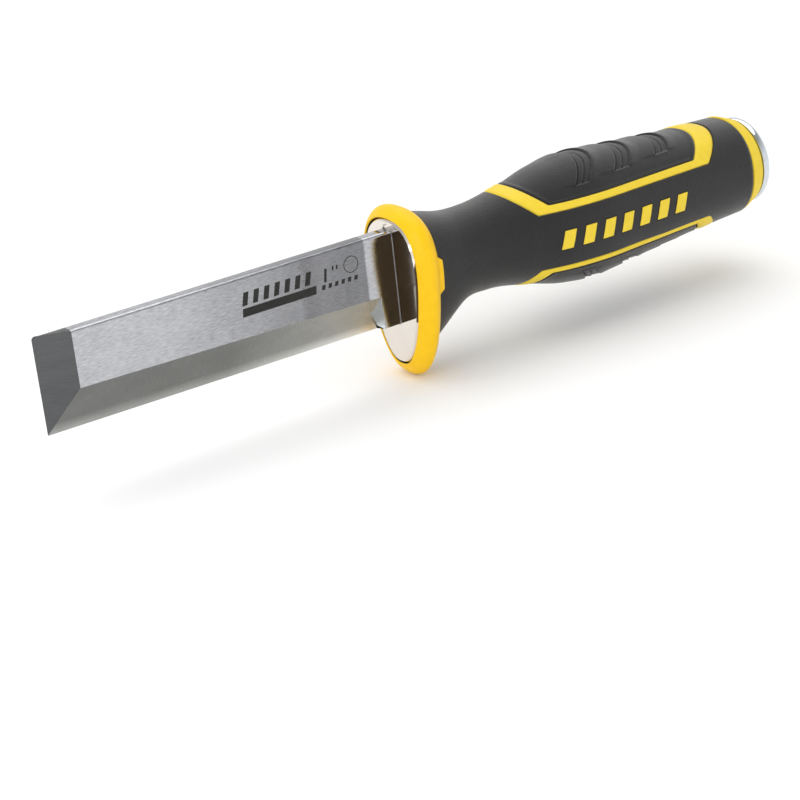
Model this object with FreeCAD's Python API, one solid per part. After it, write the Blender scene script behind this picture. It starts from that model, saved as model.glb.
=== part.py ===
import FreeCAD, Part
from FreeCAD import Vector
import math
import os

# Demolition chisel with a through tang, a hand guard and a steel strike cap. Millimetres.
# X runs along the tool and +X points to the strike cap. X = 0 is the front face of the guard plate.
# +Z is the spine side, -Z the long sharpened edge, and -Y the face that carries both bevels.

# ---- blade and tang -------------------------------------------------------------------------
BLADE_LENGTH = 100.4
BLADE_WIDTH = 25.4
BLADE_THICKNESS = 4.0
HEEL_EXTRA_WIDTH = 0.7       # the long edge is ground a little nearer the spine at the tip
RICASSO_SET_BACK = 0.8       # its underside sits above the long edge
END_BEVEL_ANGLE = 25.0       # degrees, at the chisel end
SIDE_BEVEL_AT_TIP = 11.0     # height of the long bevel on the blade's face, at the tip
SIDE_BEVEL_AT_HEEL = 9.5
RICASSO_LENGTH = 5.0         # full-thickness steel in front of the guard plate
SPINE_ROUND = 0.8
TIP_CORNER_ROUND = 1.0
TANG_WIDTH = 13.0
TANG_END_WIDTH = 9.0
TANG_CLEARANCE = 0.15

# ---- guard plate ----------------------------------------------------------------------------
PLATE_ABOVE_SPINE = 2.4      # how far the plate reaches past the blade's spine
PLATE_BELOW_EDGE = 11.2      # how far it reaches past the long edge, to guard the fingers
PLATE_WIDTH = 21.6
PLATE_THICKNESS = 2.0
PLATE_CHAMFER = 0.5
PLATE_SQUARENESS = 2.46      # exponent of the superellipse
PLATE_LEAN = 0.26            # how much wider than its middle the top is
PLATE_CLEARANCE = 0.25
BLADE_SLOT_CLEARANCE = 0.15
SLOT_RELIEF_RADIUS = 2.2

# ---- guard ring, the front of the moulded core -------------------------------------------------
RING_MIDDLE = 3.4            # distance of its widest section behind the plate face
RING_DEPTH = 6.8
RING_BASE = 0.6              # outward offset from the plate's outline at its front face
RING_PROUD = 2.8             # further offset at the widest section
RING_DROP = 0.5              # the widest section sits this much below the plate's centre
RING_LEAN_LOSS = 0.08        # the widest section is less egg-shaped than the plate
RING_STEPS = 7
TAB_LENGTH = 1.5             # tongue behind the ring, at mid height on each side
TAB_HEIGHT = 10.4
TAB_SLOPE = 1.6              # how much each end of the tongue tapers

# ---- handle ----------------------------------------------------------------------------------
HANDLE_LENGTH = 112.7        # from the plate face to the rear ring
HANDLE_CENTRE_Z = 0.75
REAR_RISE = 0.35             # the rear end's centre sits this much above the handle's centre
FLARE_START = 5.5            # the grip's first section, hidden inside the ring
FLARE_EXTRA_WIDTH = 1.8      # wider there than the guard plate
FLARE_RISE = 0.7             # its centre sits this much above the guard plate's
NECK_HEIGHT = 23.2
NECK_WIDTH = 21.6
BELLY_HEIGHT = 34.8
BELLY_WIDTH = 30.0
REAR_DIAMETER = 27.0
HANDLE_SQUARENESS = 2.3
GRIP_THICKNESS = 2.5
REAR_RING_LENGTH = 4.4
REAR_RING_PROUD = 0.4        # the ring stands this much above the grip at its front edge
REAR_RING_TAPER = 1.3        # loss of radius from its front edge to its rear edge
REAR_RING_ROUND = 0.6

# ---- stripes, marks and grip grooves -----------------------------------------------------------
STRIPE_WIDTH = 2.1
STRIPE_RISE = 8.1            # of the spine-side run's middle, above the handle's centre
EDGE_STRIPE_WIDTH = 1.5
EDGE_STRIPE_DROP = 9.1       # of the edge-side run's middle, below the handle's centre
STRIPE_FRONT_WIDTH = 3.6
STRIPE_REAR_WIDTH = 4.6
STRIPE_FRONT = 41.9          # where the front diagonal meets the straight run
REAR_BAND_LENGTH = 17.4      # grip behind the corner where the run meets the rear crossing
STRIPE_FRONT_SLOPE = 0.92    # rise over run of the front diagonal
STRIPE_REAR_SLOPE = 0.95
MARK_HEIGHT = 5.2
MARK_WIDTH = 3.6
MARK_PITCH = 6.4
MARK_SLANT = 1.4             # how far the top of a bar leans towards the strike cap
MARK_FRONT = 45.5
MARK_END_GAP = 4.3           # from the last bar to the stripe's rear corner
MARK_PROUD = 0.35            # the bars stand this much above the grip
GROOVE_DEPTH = 0.6
GROOVE_WIDTH = 1.0
GROOVE_BEND_RADIUS = 13.6
GROOVES_IN_SET = 3
# first groove's rearmost point, distance between grooves, how far below the crown they end
GROOVE_SETS = [(59.0, 2.5, 5.4), (71.8, 2.3, 4.9), (84.9, 2.1, 4.6)]

# ---- strike cap --------------------------------------------------------------------------------
CAP_STEP = 0.4               # the cap's rim sits this much inside the rear ring's edge
CAP_THICKNESS = 3.2
CAP_ROUND = 1.2

OUTLINE_POINTS = 28
BIG = 200.0                  # longer than the tool is wide, for cutting blocks
TOUCH = 1e-4                 # closer than this counts as in the same place
OVERCUT = 1.0                # cutting blocks pass this far through what they cut

SPINE_Z = BLADE_WIDTH / 2
PLATE_HEIGHT = PLATE_ABOVE_SPINE + BLADE_WIDTH + PLATE_BELOW_EDGE
PLATE_CENTRE_Z = SPINE_Z + PLATE_ABOVE_SPINE - PLATE_HEIGHT / 2
FLARE_CENTRE_Z = PLATE_CENTRE_Z + FLARE_RISE
REAR_CENTRE_Z = HANDLE_CENTRE_Z + REAR_RISE
STRIPE_REAR = HANDLE_LENGTH - REAR_BAND_LENGTH
REAR_RING_RADIUS = REAR_DIAMETER / 2 + REAR_RING_PROUD
REAR_RING_END_RADIUS = REAR_RING_RADIUS - REAR_RING_TAPER
CAP_RADIUS = REAR_RING_END_RADIUS - CAP_STEP
RICASSO_UNDERSIDE = -SPINE_Z - HEEL_EXTRA_WIDTH + RICASSO_SET_BACK
REAR_FACE = HANDLE_LENGTH + REAR_RING_LENGTH
CAP_FACE = REAR_FACE + CAP_THICKNESS


def superellipse(x, half_width, half_height, centre_z, squareness, lean):
    """Closed wire in the plane X = x: |y/w|^n + |z/h|^n = 1, with w growing towards the top."""
    points = []
    for step in range(OUTLINE_POINTS):
        angle = 2 * math.pi * step / OUTLINE_POINTS
        across = math.copysign(abs(math.cos(angle)) ** (2 / squareness), math.cos(angle))
        rise = math.copysign(abs(math.sin(angle)) ** (2 / squareness), math.sin(angle))
        y = half_width * (1 + lean * rise) * across
        points.append(Vector(x, y, centre_z + half_height * rise))
    curve = Part.BSplineCurve()
    curve.interpolate(Points=points, PeriodicFlag=True)
    return Part.Wire([curve.toShape()])


def box(x_low, x_high, y_low, y_high, z_low, z_high):
    """Block between two corners."""
    corner = Vector(x_low, y_low, z_low)
    return Part.makeBox(x_high - x_low, y_high - y_low, z_high - z_low, corner)


def side_prism(outline, y_low, y_high):
    """Straight-sided block through Y whose outline is given as (x, z) corners."""
    points = [Vector(x, y_low, z) for x, z in outline]
    face = Part.Face(Part.makePolygon(points + points[:1]))
    return face.extrude(Vector(0, y_high - y_low, 0))


def edges_at(solid, x):
    """Edges that lie wholly in the plane X = x."""
    found = []
    for edge in solid.Edges:
        reach = edge.BoundBox
        if abs(reach.XMin - x) < TOUCH and abs(reach.XMax - x) < TOUCH:
            found.append(edge)
    return found


def plate_outline(x, grow, drop=0, lean=PLATE_LEAN):
    """The guard plate's egg outline, moved outwards by grow and down by drop."""
    half_width = PLATE_WIDTH / 2 + grow
    half_height = PLATE_HEIGHT / 2 + grow
    centre_z = PLATE_CENTRE_Z - drop
    return superellipse(x, half_width, half_height, centre_z, PLATE_SQUARENESS, lean)


# ---- blade -------------------------------------------------------------------------------------
def side_bevel_cutter():
    """Ruled wedge that grinds the long bevel: its height changes evenly from tip to heel."""
    half = BLADE_THICKNESS / 2
    reach = BLADE_THICKNESS
    wires = []
    for x in (-BLADE_LENGTH, -RICASSO_LENGTH):
        share = (x + BLADE_LENGTH) / (BLADE_LENGTH - RICASSO_LENGTH)
        height = SIDE_BEVEL_AT_TIP + share * (SIDE_BEVEL_AT_HEEL - SIDE_BEVEL_AT_TIP)
        edge_z = -SPINE_Z - share * HEEL_EXTRA_WIDTH
        slope = height / BLADE_THICKNESS
        corners = [
            Vector(x, -half - reach, edge_z + height + slope * reach),
            Vector(x, half + reach, edge_z - slope * reach),
            Vector(x, half + reach, -BIG),
            Vector(x, -half - reach, -BIG),
        ]
        wires.append(Part.makePolygon(corners + corners[:1]))
    return Part.makeLoft(wires, True, True)


def blank(heel):
    """Flat bar that the blade is ground from, with its spine corner rounded at the tip."""
    half = BLADE_THICKNESS / 2
    spread = TIP_CORNER_ROUND * (1 - math.sqrt(0.5))
    low_tip = Vector(-BLADE_LENGTH, -half, heel)
    round_start = Vector(-BLADE_LENGTH, -half, SPINE_Z - TIP_CORNER_ROUND)
    round_middle = Vector(-BLADE_LENGTH + spread, -half, SPINE_Z - spread)
    round_end = Vector(-BLADE_LENGTH + TIP_CORNER_ROUND, -half, SPINE_Z)
    high_heel = Vector(PLATE_THICKNESS, -half, SPINE_Z)
    low_heel = Vector(PLATE_THICKNESS, -half, heel)
    edges = [
        Part.makeLine(low_tip, round_start),
        Part.Arc(round_start, round_middle, round_end).toShape(),
        Part.makeLine(round_end, high_heel),
        Part.makeLine(high_heel, low_heel),
        Part.makeLine(low_heel, low_tip),
    ]
    return Part.Face(Part.Wire(edges)).extrude(Vector(0, BLADE_THICKNESS, 0))


def blade():
    """One steel forging: blade, full-thickness ricasso, and a tang that runs to the strike cap."""
    half = BLADE_THICKNESS / 2
    heel = -SPINE_Z - HEEL_EXTRA_WIDTH
    steel = blank(heel)
    spine_edges = []
    for edge in steel.Edges:
        if edge.Length > BLADE_LENGTH / 2 and abs(edge.CenterOfMass.z - SPINE_Z) < TOUCH:
            spine_edges.append(edge)
    steel = steel.makeFillet(SPINE_ROUND, spine_edges)
    steel = steel.cut(side_bevel_cutter())
    bevel_run = BLADE_THICKNESS / math.tan(math.radians(END_BEVEL_ANGLE))
    tip = [
        Vector(-BLADE_LENGTH - bevel_run, -BLADE_THICKNESS - half, -BIG),
        Vector(-BLADE_LENGTH + 2 * bevel_run, -BLADE_THICKNESS - half, -BIG),
        Vector(-BLADE_LENGTH - bevel_run, half + BLADE_THICKNESS, -BIG),
    ]
    tip_cutter = Part.Face(Part.makePolygon(tip + tip[:1])).extrude(Vector(0, 0, 2 * BIG))
    steel = steel.cut(tip_cutter)
    step_low = heel - OVERCUT
    step_back = PLATE_THICKNESS + OVERCUT
    steel = steel.cut(box(-RICASSO_LENGTH, step_back, -BIG, BIG, step_low, RICASSO_UNDERSIDE))
    tang_low = HANDLE_CENTRE_Z - TANG_WIDTH / 2
    tang_high = HANDLE_CENTRE_Z + TANG_WIDTH / 2
    end_low = HANDLE_CENTRE_Z - TANG_END_WIDTH / 2
    end_high = HANDLE_CENTRE_Z + TANG_END_WIDTH / 2
    tang_front = PLATE_THICKNESS / 2
    tang = side_prism(
        [
            (tang_front, tang_low),
            (HANDLE_LENGTH, tang_low),
            (HANDLE_LENGTH, end_low),
            (CAP_FACE, end_low),
            (CAP_FACE, end_high),
            (HANDLE_LENGTH, end_high),
            (HANDLE_LENGTH, tang_high),
            (tang_front, tang_high),
        ],
        -half,
        half,
    )
    return steel.fuse(tang).removeSplitter()


# ---- guard plate -------------------------------------------------------------------------------
def guard_plate():
    """Polished steel plate with a chamfered rim, a slot for the blade and a relief at its spine end."""
    plate = Part.Face(plate_outline(0, 0)).extrude(Vector(PLATE_THICKNESS, 0, 0))
    plate = plate.makeChamfer(PLATE_CHAMFER, edges_at(plate, 0))
    half = BLADE_THICKNESS / 2 + BLADE_SLOT_CLEARANCE
    slot_top = SPINE_Z + BLADE_SLOT_CLEARANCE
    slot_bottom = RICASSO_UNDERSIDE - BLADE_SLOT_CLEARANCE
    back = PLATE_THICKNESS + OVERCUT
    slot = box(-OVERCUT, back, -half, half, slot_bottom, slot_top)
    start = Vector(-OVERCUT, 0, slot_top - SLOT_RELIEF_RADIUS / 2)
    relief = Part.makeCylinder(SLOT_RELIEF_RADIUS, back + OVERCUT, start, Vector(1, 0, 0))
    return plate.cut(slot).cut(relief)


# ---- handle ------------------------------------------------------------------------------------
def blend(first, second, share):
    """Section sizes between two named sections."""
    return [a + share * (b - a) for a, b in zip(first, second)]


def handle_skin(inset):
    """Handle surface from the guard flare to the rear ring, taken in by inset."""
    flare = [PLATE_HEIGHT, PLATE_WIDTH + FLARE_EXTRA_WIDTH, FLARE_CENTRE_Z, PLATE_LEAN]
    neck = [NECK_HEIGHT, NECK_WIDTH, HANDLE_CENTRE_Z, 0]
    belly = [BELLY_HEIGHT, BELLY_WIDTH, HANDLE_CENTRE_Z, 0]
    rear = [REAR_DIAMETER, REAR_DIAMETER, REAR_CENTRE_Z, 0]
    # place, section before, section after, share of the way between them
    stations = [
        (FLARE_START, flare, neck, 0.0),
        (0.10 * HANDLE_LENGTH, flare, neck, 0.45),
        (0.16 * HANDLE_LENGTH, flare, neck, 0.93),
        (0.23 * HANDLE_LENGTH, neck, belly, 0.0),
        (0.34 * HANDLE_LENGTH, neck, belly, 0.33),
        (0.44 * HANDLE_LENGTH, neck, belly, 0.83),
        (0.53 * HANDLE_LENGTH, neck, belly, 1.0),
        (0.64 * HANDLE_LENGTH, belly, rear, 0.25),
        (0.78 * HANDLE_LENGTH, belly, rear, 0.6),
        (0.90 * HANDLE_LENGTH, belly, rear, 0.85),
        (HANDLE_LENGTH, belly, rear, 1.0),
    ]
    wires = []
    for x, first, second, share in stations:
        height, width, centre_z, lean = blend(first, second, share)
        half_width = width / 2 - inset
        half_height = height / 2 - inset
        wires.append(superellipse(x, half_width, half_height, centre_z, HANDLE_SQUARENESS, lean))
    return Part.makeLoft(wires, True, False)


def guard_ring():
    """Rounded collar round the plate: egg outlines that swell and shrink as a parabola along X."""
    wires = []
    for step in range(RING_STEPS):
        x = RING_DEPTH * step / (RING_STEPS - 1)
        swell = 1 - ((x - RING_MIDDLE) / RING_MIDDLE) ** 2
        grow = RING_BASE + RING_PROUD * swell
        lean = PLATE_LEAN - RING_LEAN_LOSS * swell
        wires.append(plate_outline(x, grow, RING_DROP * swell, lean))
    return Part.makeLoft(wires, True, False)


def rear_ring():
    """Short tapered collar that seats the strike cap, rounded at its rear edge."""
    centre = Vector(HANDLE_LENGTH, 0, REAR_CENTRE_Z)
    along = Vector(1, 0, 0)
    ring = Part.makeCone(REAR_RING_RADIUS, REAR_RING_END_RADIUS, REAR_RING_LENGTH, centre, along)
    return ring.makeFillet(REAR_RING_ROUND, edges_at(ring, REAR_FACE))


def stripe_loop(side, height, width):
    """One stripe loop round a finger pad, as a block through the handle.

    Seen from the side it is a front diagonal, a straight run and a slanted rear crossing. side is
    +1 for the spine and -1 for the long edge; height is the run's distance from the centre."""
    reach = BELLY_HEIGHT
    near = height - width / 2
    far = height + width / 2
    front = STRIPE_FRONT_WIDTH / 2
    rear = STRIPE_REAR_WIDTH / 2
    front_run = (reach - height) / STRIPE_FRONT_SLOPE
    rear_run = (reach - height) / STRIPE_REAR_SLOPE
    outline = [
        (STRIPE_FRONT - front - front_run, reach),
        (STRIPE_FRONT - front, near),
        (STRIPE_REAR + rear, near),
        (STRIPE_REAR + rear + rear_run, reach),
        (STRIPE_REAR - rear + rear_run, reach),
        (STRIPE_REAR - rear, far),
        (STRIPE_FRONT + front, far),
        (STRIPE_FRONT + front - front_run, reach),
    ]
    return side_prism([(x, HANDLE_CENTRE_Z + side * z) for x, z in outline], -BIG, BIG)


def stripes():
    """Both stripe loops."""
    spine_loop = stripe_loop(1, STRIPE_RISE, STRIPE_WIDTH)
    edge_loop = stripe_loop(-1, EDGE_STRIPE_DROP, EDGE_STRIPE_WIDTH)
    return [spine_loop, edge_loop]


def tab():
    """Tongue of the guard ring that reaches back into the grip at mid height, as a block."""
    back = RING_DEPTH + TAB_LENGTH
    low = HANDLE_CENTRE_Z - TAB_HEIGHT / 2
    high = HANDLE_CENTRE_Z + TAB_HEIGHT / 2
    outline = [(RING_MIDDLE, low), (RING_DEPTH, low), (back, low + TAB_SLOPE)]
    outline += [(back, high - TAB_SLOPE), (RING_DEPTH, high), (RING_MIDDLE, high)]
    return side_prism(outline, -BIG, BIG)


def marks():
    """Row of plain slanted bars down each side panel, as blocks through the handle."""
    bars = []
    run = STRIPE_REAR - MARK_END_GAP - MARK_FRONT - MARK_WIDTH
    count = 1 + int(run // MARK_PITCH)
    for index in range(count):
        x = MARK_FRONT + index * MARK_PITCH
        outline = [
            (x, -MARK_HEIGHT / 2),
            (x + MARK_WIDTH, -MARK_HEIGHT / 2),
            (x + MARK_WIDTH + MARK_SLANT, MARK_HEIGHT / 2),
            (x + MARK_SLANT, MARK_HEIGHT / 2),
        ]
        bars.append(side_prism(outline, -BIG, BIG))
    return bars


def tang_slot():
    """Room for the tang through the moulded core, with clearance all round."""
    half = BLADE_THICKNESS / 2 + TANG_CLEARANCE
    low = HANDLE_CENTRE_Z - TANG_WIDTH / 2 - TANG_CLEARANCE
    high = HANDLE_CENTRE_Z + TANG_WIDTH / 2 + TANG_CLEARANCE
    return box(-OVERCUT, REAR_FACE + OVERCUT, -half, half, low, high)


def plate_recess():
    """Pocket in the front of the ring for the guard plate."""
    outline = Part.Face(plate_outline(-BIG, PLATE_CLEARANCE))
    return outline.extrude(Vector(BIG + PLATE_THICKNESS, 0, 0))


def handle_core(outer, inner, ring):
    """Hard moulded body: guard ring, stripes, rear ring and side marks in one piece."""
    core = ring.fuse(rear_ring()).fuse(inner)
    for band in stripes() + [tab()]:
        core = core.fuse(outer.common(band))
    proud = handle_skin(-MARK_PROUD)
    for bar in marks():
        core = core.fuse(proud.common(bar))
    return core.cut(plate_recess()).cut(tang_slot()).removeSplitter()


def grooves(side, under):
    """Three sets of curved grip grooves across one finger pad.

    Seen from above each groove is an arc whose ends point towards the guard. under is the handle's
    surface at the grooves' floor."""
    cuts = []
    crown = HANDLE_CENTRE_Z + BELLY_HEIGHT / 2
    for first_x, pitch, end_drop in GROOVE_SETS:
        for index in range(GROOVES_IN_SET):
            rear_x = first_x + index * pitch
            centre = Vector(rear_x - GROOVE_BEND_RADIUS, 0, crown - end_drop)
            disc = Part.makeCylinder(GROOVE_BEND_RADIUS, BIG, centre)
            hole = Part.makeCylinder(GROOVE_BEND_RADIUS - GROOVE_WIDTH, BIG, centre)
            front_half = box(centre.x - BIG, centre.x, -BIG, BIG, -BIG, BIG)
            cuts.append(disc.cut(hole).cut(front_half))
    block = Part.makeCompound(cuts)
    if side < 0:
        block = block.mirror(Vector(0, 0, HANDLE_CENTRE_Z), Vector(0, 0, 1))
    return block.cut(under)


def grip_parts(outer, inner, ring):
    """Soft grip round the core: the sleeve, the spine-side pad and the edge-side pad."""
    shell = outer.cut(inner).common(box(RING_DEPTH, HANDLE_LENGTH, -BIG, BIG, -BIG, BIG))
    shell = shell.cut(ring)
    for band in stripes() + [tab()] + marks():
        shell = shell.cut(band)
    edge_pad, sleeve, spine_pad = sorted(shell.Solids, key=lambda solid: solid.CenterOfMass.z)
    under = handle_skin(GROOVE_DEPTH)
    spine_pad = spine_pad.cut(grooves(1, under))
    edge_pad = edge_pad.cut(grooves(-1, under))
    return sleeve, spine_pad, edge_pad


def strike_cap():
    """Steel disc with a rounded rim and a slot in which the tang's end is peened."""
    centre = Vector(REAR_FACE, 0, REAR_CENTRE_Z)
    cap = Part.makeCylinder(CAP_RADIUS, CAP_THICKNESS, centre, Vector(1, 0, 0))
    cap = cap.makeFillet(CAP_ROUND, edges_at(cap, CAP_FACE))
    half = BLADE_THICKNESS / 2 + TANG_CLEARANCE
    low = HANDLE_CENTRE_Z - TANG_END_WIDTH / 2 - TANG_CLEARANCE
    high = HANDLE_CENTRE_Z + TANG_END_WIDTH / 2 + TANG_CLEARANCE
    return cap.cut(box(REAR_FACE - OVERCUT, CAP_FACE + OVERCUT, -half, half, low, high))


def main():
    outer = handle_skin(0)
    inner = handle_skin(GRIP_THICKNESS)
    ring = guard_ring()
    sleeve, spine_pad, edge_pad = grip_parts(outer, inner, ring)
    nodes = {
        "blade": blade(),
        "guard_plate": guard_plate(),
        "handle_core": handle_core(outer, inner, ring),
        "grip_sleeve": sleeve,
        "spine_finger_pad": spine_pad,
        "edge_finger_pad": edge_pad,
        "strike_cap": strike_cap(),
    }
    os.makedirs("parts", exist_ok=True)
    for name, shape in nodes.items():
        print(name, shape.isValid(), len(shape.Solids), round(shape.Volume, 1))
        shape.exportStep("parts/" + name + ".step")


main()
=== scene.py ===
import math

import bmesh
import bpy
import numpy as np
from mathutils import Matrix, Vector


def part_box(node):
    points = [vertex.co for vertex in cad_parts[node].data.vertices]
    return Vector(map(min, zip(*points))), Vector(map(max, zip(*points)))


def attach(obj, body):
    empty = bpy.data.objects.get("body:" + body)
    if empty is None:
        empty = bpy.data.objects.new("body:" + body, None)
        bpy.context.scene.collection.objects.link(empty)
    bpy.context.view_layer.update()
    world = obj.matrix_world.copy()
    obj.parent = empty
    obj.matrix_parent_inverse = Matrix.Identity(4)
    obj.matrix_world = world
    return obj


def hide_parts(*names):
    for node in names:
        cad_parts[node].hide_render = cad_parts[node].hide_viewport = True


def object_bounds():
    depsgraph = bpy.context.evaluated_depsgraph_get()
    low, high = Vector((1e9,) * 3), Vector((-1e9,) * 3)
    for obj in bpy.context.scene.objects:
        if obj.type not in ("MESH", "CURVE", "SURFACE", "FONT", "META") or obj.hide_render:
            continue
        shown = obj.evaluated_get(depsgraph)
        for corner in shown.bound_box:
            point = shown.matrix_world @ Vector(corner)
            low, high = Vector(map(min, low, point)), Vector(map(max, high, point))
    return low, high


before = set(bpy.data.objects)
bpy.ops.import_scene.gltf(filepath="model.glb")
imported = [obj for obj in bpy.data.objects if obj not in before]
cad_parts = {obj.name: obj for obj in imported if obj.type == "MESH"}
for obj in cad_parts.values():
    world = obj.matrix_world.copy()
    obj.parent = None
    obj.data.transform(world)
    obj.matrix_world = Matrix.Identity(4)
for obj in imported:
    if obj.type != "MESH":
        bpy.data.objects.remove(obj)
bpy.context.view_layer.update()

# %% [markdown]
# # A demolition chisel, piece by piece
#
# The chisel is a broad flat blade, a polished oval guard plate, a hard yellow moulding, a soft
# black grip moulded over it, and a steel strike cap. Each piece is a numpy surface built in the
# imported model's own frame: +X runs to the strike cap, +Z to the spine, and -Y is the face that
# carries both bevels. Lengths are in millimetres until a mesh is made, and then in metres.
#
# The lengths, the steel's thickness and the centres are read from the boxes of the CAD nodes. Bevels,
# rounds and curves don't show in a box, so their sizes are stated here.

MM = 0.001


def reach(node):
    """Lowest and highest corner of a CAD node, in millimetres."""
    low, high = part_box(node)
    return np.array(low) / MM, np.array(high) / MM


blade_low, blade_high = reach("blade")
plate_low, plate_high = reach("guard_plate")
cap_low, cap_high = reach("strike_cap")
sleeve_low, sleeve_high = reach("grip_sleeve")

BLADE_LENGTH = -blade_low[0]
HALF_STEEL = blade_high[1]
SPINE_Z = blade_high[2]
HEEL_EXTRA_WIDTH = 0.7
RICASSO_SET_BACK = 0.8
END_BEVEL_ANGLE = 25
END_BEVEL_RUN = 2 * HALF_STEEL / math.tan(math.radians(END_BEVEL_ANGLE))
BEVEL_AT_TIP = 11.0
BEVEL_AT_HEEL = 9.5
RICASSO_LENGTH = 5.0
RICASSO_UNDERSIDE = -SPINE_Z - HEEL_EXTRA_WIDTH + RICASSO_SET_BACK
SPINE_ROUND = 0.8
TIP_CORNER_ROUND = 1.0
PLATE_THICKNESS = plate_high[0]
PLATE_HALF_HEIGHT = (plate_high[2] - plate_low[2]) / 2
PLATE_CENTRE_Z = (plate_high[2] + plate_low[2]) / 2
PLATE_HALF_WIDTH = 10.8
PLATE_SQUARENESS = 2.46
PLATE_LEAN = 0.26
PLATE_CHAMFER = 0.5
HANDLE_CENTRE_Z = 0.75
HANDLE_SQUARENESS = 2.3
HANDLE_LENGTH = sleeve_high[0]
CAP_FACE = cap_high[0]
CAP_RADIUS = (cap_high[1] - cap_low[1]) / 2
CAP_CENTRE_Z = (cap_high[2] + cap_low[2]) / 2
REAR_FACE = cap_low[0]
print("blade", round(BLADE_LENGTH, 1), "mm long; handle", round(HANDLE_LENGTH, 1), "mm")

# %% [markdown]
# ## Turning numbers into meshes
#
# Almost every surface here is a grid of points. A list of faces could be typed by hand, but a rule
# is shorter and can't miss one: `grid_faces` joins neighbours with quads, going round to the start
# where the surface closes on itself.


# %% Grid helpers
def smooth_step(value):
    """3t^2 - 2t^3 with t held between 0 and 1: a soft switch from 0 to 1."""
    t = np.clip(value, 0, 1)
    return t * t * (3 - 2 * t)


def eased(count, share=1.0, endpoint=True):
    """Steps from 0 to 1: share x (1 - cos(pi t))/2, which gathers at both ends, plus the rest even."""
    even = np.linspace(0, 1, count, endpoint=endpoint)
    return share * (0.5 - 0.5 * np.cos(math.pi * even)) + (1 - share) * even


def grid_faces(rows, columns, close_rows, close_columns):
    """Quads (i,j) (i+1,j) (i+1,j+1) (i,j+1) over a grid, wrapping where asked."""
    i = np.arange(rows if close_rows else rows - 1)
    j = np.arange(columns if close_columns else columns - 1)
    i, j = np.meshgrid(i, j, indexing="ij")
    i2, j2 = (i + 1) % rows, (j + 1) % columns
    quads = [i * columns + j, i2 * columns + j, i2 * columns + j2, i * columns + j2]
    return np.stack(quads, axis=-1).reshape(-1, 4)


print("a closed tube of 3 rows by 8 columns has", len(grid_faces(3, 8, False, True)), "quads")

# %% [markdown]
# A grid has doubled points where a seam or a pole closes. They are welded, and the faces are then
# turned outwards together. Edges sharper than a chosen angle are marked, so that the creases of
# ground steel stay crisp and curves stay smooth.


# %% Piece helper
def tidy_mesh(mesh):
    """Welds seams and poles, drops empty faces and turns all normals outwards."""
    work = bmesh.new()
    work.from_mesh(mesh)
    bmesh.ops.remove_doubles(work, verts=work.verts, dist=2e-6)
    bmesh.ops.dissolve_degenerate(work, edges=work.edges, dist=1e-6)
    bmesh.ops.recalc_face_normals(work, faces=work.faces)
    work.to_mesh(mesh)
    work.free()


def make_piece(name, grids, replaced, materials, sharp):
    """One mesh from several grids. grids holds (points, close_rows, close_columns, material
    number or an array of one per quad). Points are in millimetres, and edges sharper than sharp
    degrees are creases."""
    points, quads, numbers, start = [], [], [], 0
    for surface, close_rows, close_columns, number in grids:
        rows, columns = surface.shape[:2]
        faces = grid_faces(rows, columns, close_rows, close_columns) + start
        points.append(surface.reshape(-1, 3) * MM)
        quads.append(faces)
        numbers.append(np.broadcast_to(number, len(faces)))
        start += rows * columns
    mesh = bpy.data.meshes.new(name)
    mesh.from_pydata(np.concatenate(points).tolist(), [], np.concatenate(quads).tolist())
    mesh.polygons.foreach_set("material_index", np.concatenate(numbers).astype(np.int32))
    for material in materials:
        mesh.materials.append(material)
    tidy_mesh(mesh)
    mesh.shade_smooth()
    mesh.set_sharp_from_angle(angle=math.radians(sharp))
    piece = bpy.data.objects.new(name, mesh)
    bpy.context.scene.collection.objects.link(piece)
    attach(piece, "root")
    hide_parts(*replaced)
    print(name, len(mesh.vertices), "points", len(mesh.polygons), "faces")
    return piece


# %% [markdown]
# ## Materials
#
# Every finish is procedural and reads Object coordinates, so it is fixed to the tool. Real metal
# and rubber are never one even colour. `stretched_noise` has a frequency per axis: stretched, it
# gives scratch lines, and even, it gives grain. `spread` and `shade` turn it into a tone.


# %% Noise and tone helpers
def new_material(name, colour, metallic, roughness):
    """A Principled material, with its node tree and shader handed back for further work."""
    material = bpy.data.materials.new(name)
    material.use_nodes = True
    tree = material.node_tree
    shader = tree.nodes["Principled BSDF"]
    shader.inputs["Base Color"].default_value = (*colour, 1)
    shader.inputs["Metallic"].default_value = metallic
    shader.inputs["Roughness"].default_value = roughness
    return material, tree, shader


def stretched_noise(tree, scale, detail, roughness=0.55):
    """Noise in Object coordinates, with a frequency per axis in cycles per metre."""
    place = tree.nodes.new("ShaderNodeTexCoord")
    stretch = tree.nodes.new("ShaderNodeMapping")
    stretch.inputs["Scale"].default_value = scale
    noise = tree.nodes.new("ShaderNodeTexNoise")
    noise.inputs["Scale"].default_value = 1
    noise.inputs["Detail"].default_value = detail
    noise.inputs["Roughness"].default_value = roughness
    tree.links.new(place.outputs["Object"], stretch.inputs["Vector"])
    tree.links.new(stretch.outputs["Vector"], noise.inputs["Vector"])
    return noise.outputs["Fac"]


def spread(tree, value, low, high, source=(0.3, 0.7)):
    """value mapped from the source range to low..high."""
    node = tree.nodes.new("ShaderNodeMapRange")
    node.inputs["From Min"].default_value = source[0]
    node.inputs["From Max"].default_value = source[1]
    node.inputs["To Min"].default_value = low
    node.inputs["To Max"].default_value = high
    tree.links.new(value, node.inputs["Value"])
    return node.outputs["Result"]


def shade(tree, shader, colour, factor):
    """Base colour = colour x factor."""
    node = tree.nodes.new("ShaderNodeVectorMath")
    node.operation = "SCALE"
    node.inputs[0].default_value = colour
    tree.links.new(factor, node.inputs["Scale"])
    tree.links.new(node.outputs["Vector"], shader.inputs["Base Color"])


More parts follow.
